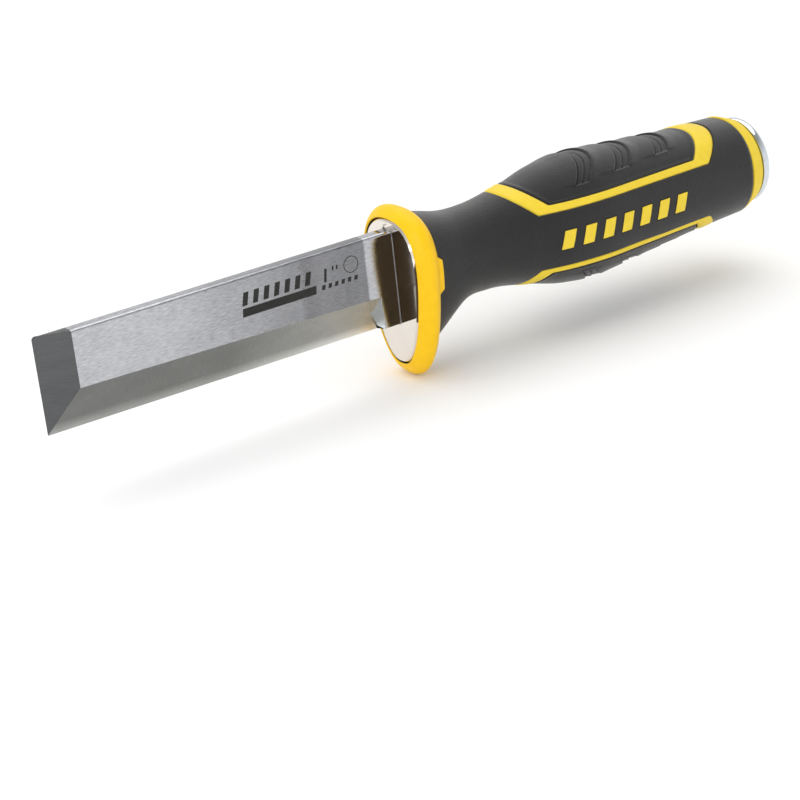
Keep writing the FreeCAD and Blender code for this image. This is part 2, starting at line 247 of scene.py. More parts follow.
def times(tree, first, second):
    """Product of two values."""
    node = tree.nodes.new("ShaderNodeMath")
    node.operation = "MULTIPLY"
    tree.links.new(first, node.inputs[0])
    tree.links.new(second, node.inputs[1])
    return node.outputs["Value"]


def along(tree, axis):
    """One Object coordinate, in metres."""
    place = tree.nodes.new("ShaderNodeTexCoord")
    parts = tree.nodes.new("ShaderNodeSeparateXYZ")
    tree.links.new(place.outputs["Object"], parts.inputs["Vector"])
    return parts.outputs[axis]


def emboss(tree, shader, height, distance, strength=1.0):
    """Bump from a height value, distance in metres."""
    bump = tree.nodes.new("ShaderNodeBump")
    bump.inputs["Distance"].default_value = distance
    bump.inputs["Strength"].default_value = strength
    tree.links.new(height, bump.inputs["Height"])
    tree.links.new(bump.outputs["Normal"], shader.inputs["Normal"])


def speckle(tree, shader, colour, frequency, detail, low, high):
    """Base colour = colour x noise spread over low..high. Hands the noise back for other uses."""
    noise = stretched_noise(tree, (frequency, frequency, frequency), detail)
    shade(tree, shader, colour, spread(tree, noise, low, high))
    return noise


# %% [markdown]
# Ground steel is scratched in one direction, and each grind mirrors a different part of the
# workshop. The scratches are noise stretched along the grind. The workshop isn't modelled, so its
# part is painted reflection: a slow change of tone along the blade, which stays put as the tool turns.

# %% Steel helpers
# The first two ranges, in metres, are where the painted reflection changes over the heel and near the
# back face.
HEEL_REFLECTION_RANGE = (-0.0089, -0.0083)
BACK_REFLECTION_RANGE = (0.0009, 0.0018)
SHINE_RANGE = (-0.025, -0.009)
SHINE_AT_HEEL = 0.55
SCRATCH_DEPTH = 0.00003


def ground_steel(name, colour, scale, roughness, contrast, fade, heel=1.0, edge=1.0):
    """Steel with scratch lines: colour x lines x blotches x tones. The tones are painted reflection.
    fade is (x at full tone, x at low tone, low tone). heel multiplies the tone over the last 8 mm
    before the guard, and edge multiplies it where the bevel nears the back face."""
    material, tree, shader = new_material(name, colour, 1.0, roughness)
    lines = stretched_noise(tree, scale, 4)
    blotch = stretched_noise(tree, (90, 90, 260), 3)
    tone = times(tree, spread(tree, lines, 1 - contrast, 1 + contrast),
                 spread(tree, blotch, 0.94, 1.05))
    # Painted reflection: tone along the blade, over the heel and near the back face.
    tone = times(tree, tone, spread(tree, along(tree, "X"), 1, fade[2], fade[:2]))
    tone = times(tree, tone, spread(tree, along(tree, "X"), 1, heel, HEEL_REFLECTION_RANGE))
    tone = times(tree, tone, spread(tree, along(tree, "Y"), 1, edge, BACK_REFLECTION_RANGE))
    shade(tree, shader, colour, tone)
    rough = spread(tree, lines, roughness * 0.8, roughness * 1.25)
    rough = times(tree, rough, spread(tree, along(tree, "X"), 1, SHINE_AT_HEEL, SHINE_RANGE))
    tree.links.new(rough, shader.inputs["Roughness"])
    emboss(tree, shader, lines, SCRATCH_DEPTH, 0.6)
    return material


def polished(name, colour, roughness):
    """Bright steel with a faint unevenness in its polish."""
    material, tree, shader = new_material(name, colour, 1.0, roughness)
    noise = speckle(tree, shader, colour, 160, 3, 0.97, 1.02)
    tree.links.new(spread(tree, noise, roughness * 0.7, roughness * 1.6), shader.inputs["Roughness"])
    return material


# %% [markdown]
# The blade has three grinds. Its flats are brushed lengthwise, the long bevel is ground across,
# and the end bevel is ground along the cutting edge and reads darkest. Their base colours differ
# partly by grind and partly as painted reflection. The etched marks are a dull dark grey.

# %% Steels
NO_REFLECTION_FADE = (-0.1, -0.09, 1.0)
# Painted reflection: the flats darken towards the guard and brighten again over the heel; the long
# bevel brightens towards the guard and near the back face.
flat_steel = ground_steel("flat_steel", (0.46, 0.465, 0.488), (520, 2500, 3800), 0.19, 0.26,
                          (-0.07, -0.015, 0.45), heel=2.2)
long_bevel_steel = ground_steel("long_bevel_steel", (0.20, 0.202, 0.193), (9000, 900, 240), 0.24,
                                0.07, (-0.05, -0.01, 2.1), edge=1.8)
end_bevel_steel = ground_steel("end_bevel_steel", (0.105, 0.107, 0.109), (260, 260, 5200), 0.26,
                               0.09, NO_REFLECTION_FADE)
etched = ground_steel("etched", (0.045, 0.045, 0.043), (900, 900, 3000), 0.5, 0.25, NO_REFLECTION_FADE)
wall_steel = polished("wall_steel", (0.80, 0.84, 0.88), 0.25)
mirror_steel = polished("mirror_steel", (0.80, 0.745, 0.68), 0.035)
cap_metal = polished("cap_metal", (0.64, 0.68, 0.72), 0.07)
print("steels:", flat_steel.name, long_bevel_steel.name, end_bevel_steel.name, etched.name,
      wall_steel.name, mirror_steel.name, cap_metal.name)

# %% [markdown]
# The hard plastic comes out of its mould almost smooth, with a weak gloss. The soft grip has a
# fine tooth that scatters light, so its shader has a rougher bump and a little sheen. The dark gap
# material is painted shade: it stands for the unlit bottom of a joint line.


# %% Plastics and rubber
def moulded(name, colour, roughness, low):
    """Hard plastic: colour x noise spread over low..1.03, with a faint bump and a weak gloss."""
    material, tree, shader = new_material(name, colour, 0.0, roughness)
    noise = speckle(tree, shader, colour, 420, 4, low, 1.03)
    emboss(tree, shader, noise, 0.00003, 0.35)
    shader.inputs["Specular IOR Level"].default_value = 0.22
    return material


def dull(name, colour, roughness, frequency, detail, unevenness):
    """Plain dull stuff: colour x noise spread over 1 - unevenness..1 + unevenness."""
    material, tree, shader = new_material(name, colour, 0.0, roughness)
    speckle(tree, shader, colour, frequency, detail, 1 - unevenness, 1 + unevenness)
    return material


yellow = moulded("yellow", (0.93, 0.56, 0.006), 0.38, 0.965)
stripe_yellow = moulded("stripe_yellow", (0.84, 0.62, 0.045), 0.42, 0.96)
# Painted shade: near black for the unlit bottoms of gaps.
painted_gap_shade = dull("painted_gap_shade", (0.012, 0.011, 0.009), 0.8, 900, 3, 0.2)

RUBBER_BLACK = (0.012, 0.012, 0.0125)
rubber, tree, shader = new_material("rubber", RUBBER_BLACK, 0.0, 0.62)
tooth = stretched_noise(tree, (1700, 1700, 1700), 5, 0.7)
blotch = stretched_noise(tree, (240, 240, 240), 3)
tone = times(tree, spread(tree, tooth, 0.6, 1.5), spread(tree, blotch, 0.93, 1.07))
shade(tree, shader, RUBBER_BLACK, tone)
shader.inputs["Specular IOR Level"].default_value = 0.28
shader.inputs["Sheen Weight"].default_value = 0.42
shader.inputs["Sheen Roughness"].default_value = 0.45
tree.links.new(spread(tree, tooth, 0.52, 0.74), shader.inputs["Roughness"])
emboss(tree, shader, tooth, 0.00016, 0.8)
print("moulded:", yellow.name, stripe_yellow.name, rubber.name, painted_gap_shade.name)

# %% [markdown]
# ## The blade
#
# The front face is a height field: at each point of the side view, y is the largest of the flat
# face, the long bevel's plane and the end bevel's plane. Cross-sections along X carry the same
# count of points, with one always on the bevel's shoulder, so the creases fall on mesh lines.
# At the ricasso two sections share one X, which makes the wall where the grind stops.


# %% Blade sections
BEVEL_POINTS = 13
FLAT_POINTS = 20
ROUND_POINTS = 13
PLAIN_SHOULDER = 0.3


def blade_section(x, bevelled, z_low, z_high):
    """Closed section in the plane X = x as (points, 3), from the long edge up the front face,
    over the spine and down the back. The end bevel is the line y = half steel - thickness x
    distance from the tip / bevel run, and no point lies in front of it."""
    y_end = HALF_STEEL - (x + BLADE_LENGTH) * 2 * HALF_STEEL / END_BEVEL_RUN
    y_face = max(-HALF_STEEL, y_end)
    share = min(1.0, (x + BLADE_LENGTH) / (BLADE_LENGTH - RICASSO_LENGTH))
    if bevelled:
        height = BEVEL_AT_TIP + share * (BEVEL_AT_HEEL - BEVEL_AT_TIP)
        y_low, z_shoulder = HALF_STEEL, z_low + height * (HALF_STEEL - y_face) / (2 * HALF_STEEL)
    else:
        y_low, z_shoulder = y_face, z_low + PLAIN_SHOULDER
    up = np.linspace(0, 1, BEVEL_POINTS)
    bevel = np.stack([y_low + (y_face - y_low) * up, z_low + (z_shoulder - z_low) * up], axis=1)
    rim = z_high - SPINE_ROUND
    flat = np.stack([np.full(FLAT_POINTS, y_face), np.linspace(z_shoulder, rim, FLAT_POINTS)], axis=1)
    turn = np.linspace(0, math.pi / 2, ROUND_POINTS)
    front_round = np.stack([
        -HALF_STEEL + SPINE_ROUND * (1 - np.cos(turn)), rim + SPINE_ROUND * np.sin(turn)], axis=1)
    back_round = front_round[::-1] * [-1, 1]
    back = np.stack([np.full(FLAT_POINTS, HALF_STEEL), np.linspace(rim, z_low, FLAT_POINTS)], axis=1)
    outline = np.concatenate([bevel, flat, front_round, back_round, back])
    outline[:, 0] = np.maximum(outline[:, 0], min(y_end, HALF_STEEL))
    return np.column_stack([np.full(len(outline), x), outline])


def spine_height(x):
    """Spine height: r(1 - sqrt(1 - (1 - t)^2)) below the spine, a quarter round at the tip."""
    into = min(1.0, (x + BLADE_LENGTH) / TIP_CORNER_ROUND)
    return SPINE_Z - TIP_CORNER_ROUND * (1 - math.sqrt(1 - (1 - into) ** 2))


def edge_height(x):
    """Height of the long edge: it drops evenly from tip to heel."""
    share = (x + BLADE_LENGTH) / (BLADE_LENGTH - RICASSO_LENGTH)
    return -SPINE_Z - share * HEEL_EXTRA_WIDTH


print("sections have", len(blade_section(0, False, RICASSO_UNDERSIDE, SPINE_Z)), "points")

# %% [markdown]
# The sections are then laid one behind another, close together at the rounded tip corner, and the
# tang follows behind the guard plate. Each quad gets the steel of the grind that it lies on, by its
# place in the grid, so that the border between two finishes falls exactly on the crease.

# %% Blade
TANG_HALF = 6.5
TANG_END_HALF = 4.5
ON_LONG_BEVEL, ON_END_BEVEL, ON_WALL = 1, 2, 3
HAIR = 0.01
tip = -BLADE_LENGTH
bevel_end = tip + END_BEVEL_RUN
corner = tip + TIP_CORNER_ROUND * (1 - np.cos(np.linspace(0, math.pi / 2, 8)))
bevel_x = np.linspace(tip + TIP_CORNER_ROUND, bevel_end, 16)[1:]
flat_x = np.linspace(bevel_end, -RICASSO_LENGTH, 60)[1:]
sections = [blade_section(x, True, edge_height(x), spine_height(x))
            for x in np.concatenate([corner, bevel_x, flat_x])]
sections += [blade_section(x, False, RICASSO_UNDERSIDE, SPINE_Z)
             for x in np.linspace(-RICASSO_LENGTH, PLATE_THICKNESS, 8)]
for x, half in [(PLATE_THICKNESS, TANG_HALF), (HANDLE_LENGTH, TANG_HALF),
                (HANDLE_LENGTH, TANG_END_HALF), (CAP_FACE, TANG_END_HALF)]:
    sections.append(blade_section(x, False, HANDLE_CENTRE_Z - half, HANDLE_CENTRE_Z + half))
surface = np.array(sections)
centre = surface[-1].mean(axis=0)
surface = np.concatenate([surface, np.broadcast_to(centre, surface[-1:].shape)])

column = np.arange(surface.shape[1])
row_x, next_x = surface[:-1, :1, 0], surface[1:, :1, 0]
flat_start = BEVEL_POINTS - 1
back_start = BEVEL_POINTS + FLAT_POINTS + ROUND_POINTS
on_bevel = (row_x < -RICASSO_LENGTH - HAIR) & (column < flat_start)
on_end = (row_x < bevel_end - HAIR) & (column >= flat_start) & (column < back_start)
on_wall = np.abs(next_x - row_x) + np.abs(row_x + RICASSO_LENGTH) < 1e-6
steel = np.where(on_bevel, ON_LONG_BEVEL, 0)
steel = np.where(on_end, ON_END_BEVEL, steel)
steel = np.where(on_wall, ON_WALL, steel)
make_piece("chisel_blade", [(surface, False, True, steel.ravel())], ["blade"],
           [flat_steel, long_bevel_steel, end_bevel_steel, wall_steel], sharp=9)

# %% [markdown]
# ## Etched marks
#
# Plain marks stand where a tool like this carries its etched size and maker: a row of slanted bars
# over a solid bar, one upright bar with two ticks, a row of short dashes, and a ring. A real etch
# has no depth to speak of, so each mark is a skin that floats 0.012 mm in front of the flat. The
# skins have no inside, so which way they face is set by looking at the first one.

# %% Etched marks
ETCH_Y = -HALF_STEEL - 0.012
RING_INNER, RING_OUTER = 2.0, 2.22
RING_X, RING_Z = -13.0, 7.3


def etched_bar(x_low, x_high, z_low, z_high, slant):
    """Parallelogram on the flat: x = low + width u + slant v, z = low + height v."""
    across, up = np.meshgrid(np.linspace(0, 1, 5), np.linspace(0, 1, 5))
    x = x_low + (x_high - x_low) * across + slant * up
    z = z_low + (z_high - z_low) * up
    return np.stack([x, np.full_like(x, ETCH_Y), z], axis=-1)


def bar_row(count, first, pitch, width, z_low, z_high, slant):
    """Equal bars, each one pitch behind the last."""
    lefts = [first + pitch * index for index in range(count)]
    return [etched_bar(left, left + width, z_low, z_high, slant) for left in lefts]


bars = [etched_bar(-45.6, -24.0, 2.4, 4.6, 0.25)]
bars += bar_row(7, -45.4, 3.05, 1.5, 5.3, 8.7, 0.8)
bars += [etched_bar(-21.4, -20.7, 4.7, 8.2, 0.5)]
bars += bar_row(2, -18.8, 1.2, 0.5, 7.2, 8.3, 0.2)
bars += bar_row(6, -22.3, 1.95, 1.0, 2.9, 4.1, 0.25)
angle, radius = np.meshgrid(np.linspace(0, 2 * math.pi, 48, endpoint=False), [RING_INNER, RING_OUTER])
ring = np.stack([RING_X + radius * np.cos(angle), np.full_like(angle, ETCH_Y),
                 RING_Z + radius * np.sin(angle)], axis=-1)
grids = [(bar, False, False, 0) for bar in bars] + [(ring, False, True, 0)]
marks = make_piece("etched_marks", grids, ["blade"], [etched], sharp=32)
if marks.data.polygons[0].normal.y > 0:
    marks.data.flip_normals()

# %% [markdown]
# ## The guard plate
#
# Its outline is an egg: a superellipse |y/w|^n + |z/h|^n = 1 whose width grows towards the top.
# The mesh runs in rings from the slot's wall, over the flat face, down the chamfer and round the
# back. The slot is the blade's section with a small round relief at the spine end.


# %% Egg outline
RING_POINTS = 320
turn = 2 * math.pi * np.arange(RING_POINTS) / RING_POINTS


def superellipse(angle, half_width, half_height, centre_z, squareness, lean):
    """(y, z) with y = w(1 + lean r)c and z = z0 + h r, where c and r are signed powers 2/n of
    cos and sin."""
    c = np.sign(np.cos(angle)) * np.abs(np.cos(angle)) ** (2 / squareness)
    r = np.sign(np.sin(angle)) * np.abs(np.sin(angle)) ** (2 / squareness)
    return half_width * (1 + lean * r) * c, centre_z + half_height * r


def plate_ring(angle, grow, drop=0.0, lean=PLATE_LEAN):
    """The plate's outline moved outwards by grow and down by drop."""
    return superellipse(angle, PLATE_HALF_WIDTH + grow, PLATE_HALF_HEIGHT + grow,
                        PLATE_CENTRE_Z - drop, PLATE_SQUARENESS, lean)


def ring_at(x, y, z):
    """A ring of (y, z) points placed at x."""
    return np.stack([np.full_like(y, x), y, z], axis=-1)


def turned(profile, centre_z, count):
    """Surface of revolution about the X line at centre_z from (x, radius) pairs: y = r cos a and
    z = z0 + r sin a."""
    x, radius = np.array(profile).T
    angle = 2 * math.pi * np.arange(count) / count
    x, radius = x[:, None] + 0 * angle, radius[:, None]
    return np.stack([x, radius * np.cos(angle), centre_z + radius * np.sin(angle)], axis=-1)


outer_y, outer_z = plate_ring(turn, 0)
print("egg outline", round(float(np.ptp(outer_y)), 1), "x", round(float(np.ptp(outer_z)), 1), "mm")

# %% [markdown]
# The slot could be cut with a boolean, but that leaves long thin faces in a mirror, where they
# show. Here every ray from the middle finds the slot's wall by itself, so the rings of the slot
# and of the outline have the same number of points and join with even quads.

# %% Guard plate
SLOT_GAP = 0.04
MOUTH_GAP = 0.30
MOUTH_DEPTH = 0.22
RELIEF_RADIUS = 2.2
RELIEF_DROP = 1.1
TINY = 1e-9


def slot_ring(y, z, gap):
    """Where the ray from the origin towards (y, z) leaves the slot, or its round relief: the
    nearer of the side and the end wall, or the far root of the ray's meeting with the circle."""
    top, bottom = SPINE_Z + gap, RICASSO_UNDERSIDE - gap
    far_y = (HALF_STEEL + gap) / np.maximum(np.abs(y), TINY)
    far_z = np.where(z > 0, top, bottom) / np.where(np.abs(z) < TINY, TINY, z)
    share = np.minimum(far_y, far_z)
    relief_z = top - RELIEF_DROP
    a, b, c = y * y + z * z, -2 * z * relief_z, relief_z ** 2 - RELIEF_RADIUS ** 2
    root = b * b - 4 * a * c
    hit = (-b + np.sqrt(np.maximum(root, 0))) / (2 * a)
    share = np.where((root > 0) & (z > 0), np.maximum(share, hit), share)
    return y * share, z * share


inner_y, inner_z = slot_ring(outer_y, outer_z, SLOT_GAP)
rim_y, rim_z = slot_ring(outer_y, outer_z, MOUTH_GAP)
face_y, face_z = plate_ring(turn, -PLATE_CHAMFER)
rings = [ring_at(PLATE_THICKNESS, inner_y, inner_z), ring_at(MOUTH_DEPTH, inner_y, inner_z),
         ring_at(0, rim_y, rim_z)]
for share in (0.25, 0.5, 0.75, 1.0):
    rings.append(ring_at(0, rim_y + share * (face_y - rim_y), rim_z + share * (face_z - rim_z)))
rings += [ring_at(PLATE_CHAMFER, outer_y, outer_z), ring_at(PLATE_THICKNESS, outer_y, outer_z)]
make_piece("polished_plate", [(np.array(rings), True, True, 0)], ["guard_plate"],
           [mirror_steel], sharp=25)

# %% [markdown]
# The round relief would show a hole beside the spine. A small cup in the same steel closes it.

# %% Relief seat
SEAT_DEPTH = 0.45
SEAT_BACK = 1.5
SEAT_RADIUS = RELIEF_RADIUS - 0.01
seat = [(SEAT_DEPTH, 0.02), (SEAT_DEPTH, 1.0), (SEAT_DEPTH, SEAT_RADIUS), (SEAT_BACK, SEAT_RADIUS)]
relief_centre = SPINE_Z + SLOT_GAP - RELIEF_DROP
make_piece("relief_seat", [(turned(seat, relief_centre, 40), False, True, 0)], ["guard_plate"],
           [mirror_steel], sharp=25)

# %% [markdown]
# ## The guard ring
#
# The ring is the plate's egg grown outwards by a parabola along X, so it bulges behind the plate
# and tucks in under the grip. Its front lip turns inwards round the plate's rim, and a thin gap is
# left there; the lip's inner face and the hidden closing face carry painted shade.

# %% Guard ring
RING_MIDDLE = 3.4
RING_BASE = 0.6
RING_PROUD = 2.8
RING_DROP = 0.5
RING_LEAN_LOSS = 0.08
LIP = [(PLATE_THICKNESS, 0.24), (0.3, 0.24), (0.08, 0.32), (0.0, 0.45)]
HIDDEN_BACK = [(2 * RING_MIDDLE, 0.0), (2 * RING_MIDDLE, -2.0), (PLATE_THICKNESS + 0.1, -2.0)]


def bulge(x):
    """Ring at x: swell = 1 - ((x - middle)/middle)^2, which widens, lowers and evens the egg."""
    swell = 1 - ((x - RING_MIDDLE) / RING_MIDDLE) ** 2
    return ring_at(x, *plate_ring(turn, RING_BASE + RING_PROUD * swell, RING_DROP * swell,
                                  PLATE_LEAN - RING_LEAN_LOSS * swell))


rings = [ring_at(x, *plate_ring(turn, grow)) for x, grow in LIP]
rings += [bulge(x) for x in RING_MIDDLE * (1 - np.cos(np.linspace(0.12, math.pi, 40)))]
rings += [ring_at(x, *plate_ring(turn, grow)) for x, grow in HIDDEN_BACK]
# Painted shade on the lip's inner face and the hidden closing face.
stuff = np.zeros((len(rings), RING_POINTS), int)
stuff[[0, -1]] = 1
make_piece("guard_ring", [(np.array(rings), True, True, stuff.ravel())], ["handle_core"],
           [yellow, painted_gap_shade], sharp=50)

# %% [markdown]
# ## The handle's skin
#
# The grip is one smooth skin: superellipse sections that go from the guard's flare through the
# neck and the belly to the round rear end. The section sizes are blended along X with a cubic
# through named stations. Everything on the handle is placed on this skin, moved in or out.
# A turned shape would be easier, but the real grip isn't round anywhere between its ends.

# %% Handle skin
FLARE_START = 5.5
FLARE_EXTRA_WIDTH = 1.8
FLARE_RISE = 0.7
flare = np.array([2 * PLATE_HALF_HEIGHT, 2 * PLATE_HALF_WIDTH + FLARE_EXTRA_WIDTH,
                  PLATE_CENTRE_Z + FLARE_RISE, PLATE_LEAN])
neck = np.array([23.2, 21.6, HANDLE_CENTRE_Z, 0])
belly = np.array([34.8, 30.0, HANDLE_CENTRE_Z, 0])
rear = np.array([27.0, 27.0, CAP_CENTRE_Z, 0])
stations = [(FLARE_START / HANDLE_LENGTH, flare), (0.10, 0.55 * flare + 0.45 * neck),
            (0.16, 0.07 * flare + 0.93 * neck), (0.23, neck), (0.34, 0.67 * neck + 0.33 * belly),
            (0.44, 0.17 * neck + 0.83 * belly), (0.53, belly), (0.64, 0.75 * belly + 0.25 * rear),
            (0.78, 0.4 * belly + 0.6 * rear), (0.90, 0.15 * belly + 0.85 * rear), (1.0, rear)]
station_x = np.array([HANDLE_LENGTH * place for place, _ in stations])
station_size = np.array([size for _, size in stations])
station_slope = np.gradient(station_size, station_x, axis=0)


def section(x):
    """Height, width, centre and lean at x: a cubic between stations, slopes shared at each."""
    x = np.clip(x, station_x[0], station_x[-1])
    k = np.clip(np.searchsorted(station_x, x) - 1, 0, len(station_x) - 2)
    span = station_x[k + 1] - station_x[k]
    t = ((x - station_x[k]) / span)[..., None]
    span = span[..., None]
    ends = (2 * t ** 3 - 3 * t ** 2 + 1) * station_size[k]
    ends = ends + (3 * t ** 2 - 2 * t ** 3) * station_size[k + 1]
    tilt = (t ** 3 - 2 * t ** 2 + t) * station_slope[k] + (t ** 3 - t ** 2) * station_slope[k + 1]
    return np.moveaxis(ends + span * tilt, -1, 0)


def skin(x, angle, offset=0.0):
    """Point on the handle's surface at x and outline angle, moved outwards by offset."""
    height, width, centre_z, lean = section(x)
    y, z = superellipse(angle, width / 2 + offset, height / 2 + offset, centre_z,
                        HANDLE_SQUARENESS, lean)
    return np.stack([x + 0 * y, y, z], axis=-1)


def angle_at(x, rise):
    """Outline angle, between 0 and 90 degrees, where the skin is rise above the handle's centre."""
    height, _, centre_z, _ = section(x)
    level = np.clip((rise + HANDLE_CENTRE_Z - centre_z) / (height / 2), 0.02, 0.999)
    return np.arcsin(level ** (HANDLE_SQUARENESS / 2))


print("neck", neck[0], "x", neck[1], "mm; belly", belly[0], "x", belly[1], "mm")

# %% [markdown]
# Rows of the skin follow the stripes. A row bends forwards or backwards above a given level, so
# that one family of rows matches the stripes' front and rear diagonals. How high a point lies
# depends on its x, and its x on how high it lies, so the two are found by going round a few times.

# %% Bent rows
FRONT_SLOPE = 0.92
REAR_SLOPE = 0.95
ROUNDS = 12


def rise_of(x, angle, side):
    """Height of the skin over the handle's centre, upwards where side is 1 and downwards at -1."""
    return side * (skin(x, angle)[..., 2] - HANDLE_CENTRE_Z)


def bend_row(row_x, bend, angle_of, side, level):
    """Row at row_x, bent by (rise - level)/slope above level: forwards where bend is -1 and
    backwards where it is +1. angle_of(x) gives the column angles."""
    x = row_x + 0.0
    for _ in range(ROUNDS):
        rise = rise_of(x, angle_of(x), side)
        over = np.maximum(rise - level, 0)
        x = row_x + bend * over / np.where(bend < 0, FRONT_SLOPE, REAR_SLOPE)
    return x, angle_of(x)


# %% [markdown]
# ## Stripe loops and finger pads
#
# Each yellow stripe is a closed loop: a front crossing over the crown, a straight run on each
# side and a rear crossing. The inner and the outer border are found on the skin, their corners
# eased, and a low crowned ribbon is laid between them. The finger pad fills the inner border.
# LOOPS gives each stripe's side, the rise of its straight run and the run's width.

# %% Stripe loops
STRIPE_FRONT = 41.9
REAR_BAND_LENGTH = 17.4
STRIPE_REAR = HANDLE_LENGTH - REAR_BAND_LENGTH
STRIPE_PROUD = 0.12
STRIPE_SUNK = 0.5
CORNER_EASE = 9
LOOPS = {"spine": (1, 8.1, 2.1), "edge": (-1, 9.1, 1.5)}
FRONT_WIDTH = 3.6
REAR_WIDTH = 4.6


def border(side, rise, x_front, x_rear, count=200):
    """Closed border loop as (x, angle), with corners at x_front and x_rear at the given rise."""
    run_x = np.linspace(x_front, x_rear, count, endpoint=False)
    t = np.linspace(0, 1, count, endpoint=False)

    def crossing(corner_x, bend, share):
        """Over the crown from one side to the other, along a bent row."""
        start = np.full(count, corner_x)
        return bend_row(start, np.full(count, bend), lambda x: (
            math.pi - angle_at(start, rise) - share * (math.pi - 2 * angle_at(start, rise))), 1, rise)

    first_x, first_angle = run_x, math.pi - angle_at(run_x, rise)
    back_x, back_angle = crossing(x_rear, 1.0, t)
    return_x = run_x[::-1] + (x_rear - x_front) / count
    return_angle = angle_at(return_x, rise)
    front_x, front_angle = crossing(x_front, -1.0, 1 - t)
    x = np.concatenate([first_x, back_x, return_x, front_x])
    angle = np.concatenate([first_angle, back_angle, return_angle, front_angle])
    kernel = np.hanning(CORNER_EASE) / np.hanning(CORNER_EASE).sum()
    wrap = CORNER_EASE // 2
    for values in (x, angle):
        padded = np.concatenate([values[-wrap:], values, values[:wrap]])
        values[:] = np.convolve(padded, kernel, mode="valid")
    return x, side * angle


def ribbon(side, rise, width):
    """Ribbon between the two borders: height = proud - (proud + sunk)|2v - 1|^7."""
    outer = border(side, rise - width / 2, STRIPE_FRONT - FRONT_WIDTH / 2, STRIPE_REAR + REAR_WIDTH / 2)
    inner = border(side, rise + width / 2, STRIPE_FRONT + FRONT_WIDTH / 2, STRIPE_REAR - REAR_WIDTH / 2)
    v = eased(15)
    x = outer[0][:, None] * (1 - v) + inner[0][:, None] * v
    angle = outer[1][:, None] * (1 - v) + inner[1][:, None] * v
    lift = STRIPE_PROUD - (STRIPE_PROUD + STRIPE_SUNK) * np.abs(2 * v - 1) ** 7
    return skin(x, angle, lift[None, :] + 0 * x)


for name, (side, rise, width) in LOOPS.items():
    make_piece(name + "_stripe", [(ribbon(side, rise, width), True, False, 0)],
               ["handle_core"], [stripe_yellow], sharp=60)

# %% [markdown]
# Each pad has three sets of grip grooves. A groove is an arc seen from above, rearmost on the
# crown, so the pad is measured in "unbent" X: x plus the arc's sagitta R - sqrt(R^2 - y^2).
# A set is two shallow sunk bands between three step lines, after a smooth ramp, and it dies out
# at a fixed height on both sides. Between the sets the rubber swells slightly under the fingers.
# GROOVE_SETS gives each set's first line, its pitch and how far down the sides it reaches.

# %% Grip grooves
GROOVE_SETS = [(58.8, 2.4, 5.4), (71.8, 2.35, 4.9), (85.4, 2.15, 4.6)]
GROOVE_STRENGTH = {1: 1.0, -1: 0.8}
LOBE_STRENGTH = {1: 0.75, -1: 0.25}
LOBE_HEIGHT = 0.42
LOBE_RAMP = 6.5
LOBE_FALL = 4.0
BEND_RADIUS = 13.6
BEND_REACH = 13.0
BAND_DEPTH = 0.42
BAND_RISE = 0.30
LINE_DEPTH = 0.55
LINE_WIDTH = 0.22
SIDE_EASE = 0.45
LEDGE_HEIGHT = 0.14
LEDGE_WIDTH = 0.3
LEDGE_OVERLAP = 0.2


def pad_relief(points, side):
    """Outward offset of the pad: swellings, less sunk bands that rise evenly to the rear, less step
    lines of depth x exp(-(distance/width)^2), and a low ledge where a set ends at the side."""
    x, y = points[..., 0], points[..., 1]
    rise = side * (points[..., 2] - HANDLE_CENTRE_Z)
    across = np.minimum(np.abs(y), BEND_REACH)
    straight = x + BEND_RADIUS - np.sqrt(BEND_RADIUS ** 2 - across ** 2)
    offset = np.zeros_like(x)
    for first, pitch, drop in GROOVE_SETS:
        last = first + 2 * pitch
        over_side = rise - (belly[0] / 2 - drop)
        inside = smooth_step(over_side / SIDE_EASE)
        ramp = smooth_step((straight - first + LOBE_RAMP) / LOBE_RAMP) * (straight < first)
        fall = (1 - smooth_step((straight - last) / LOBE_FALL)) * (straight > last)
        lobe = LOBE_HEIGHT * (ramp + fall)
        offset += inside * lobe * LOBE_STRENGTH[side] / GROOVE_STRENGTH[side]
        for index in range(2):
            share = (straight - (first + index * pitch)) / pitch
            sunk = (share > 0) & (share <= 1)
            offset -= inside * sunk * (BAND_DEPTH - BAND_RISE * share)
        for index in range(3):
            line = first + index * pitch
            offset -= inside * LINE_DEPTH * np.exp(-((straight - line) / LINE_WIDTH) ** 2)
        beside = (straight > first - LEDGE_OVERLAP) & (straight < last + LEDGE_OVERLAP)
        offset += LEDGE_HEIGHT * beside * np.exp(-(over_side / LEDGE_WIDTH) ** 2)
    return offset * GROOVE_STRENGTH[side]


print("groove sets start at", [first for first, _, _ in GROOVE_SETS], "mm")

# %% [markdown]
# The pad's rows turn from the front diagonal to the rear one, and its columns run from side to
# side over the crown. Its rim is rounded down, so that it meets the stripe in a fine dark gap. The
# whole pad is lowered by the height of its swellings, which keeps it inside the CAD model's box.

# %% Finger pads
PAD_ROUND = 0.75
RELIEF_EASE = 1.5


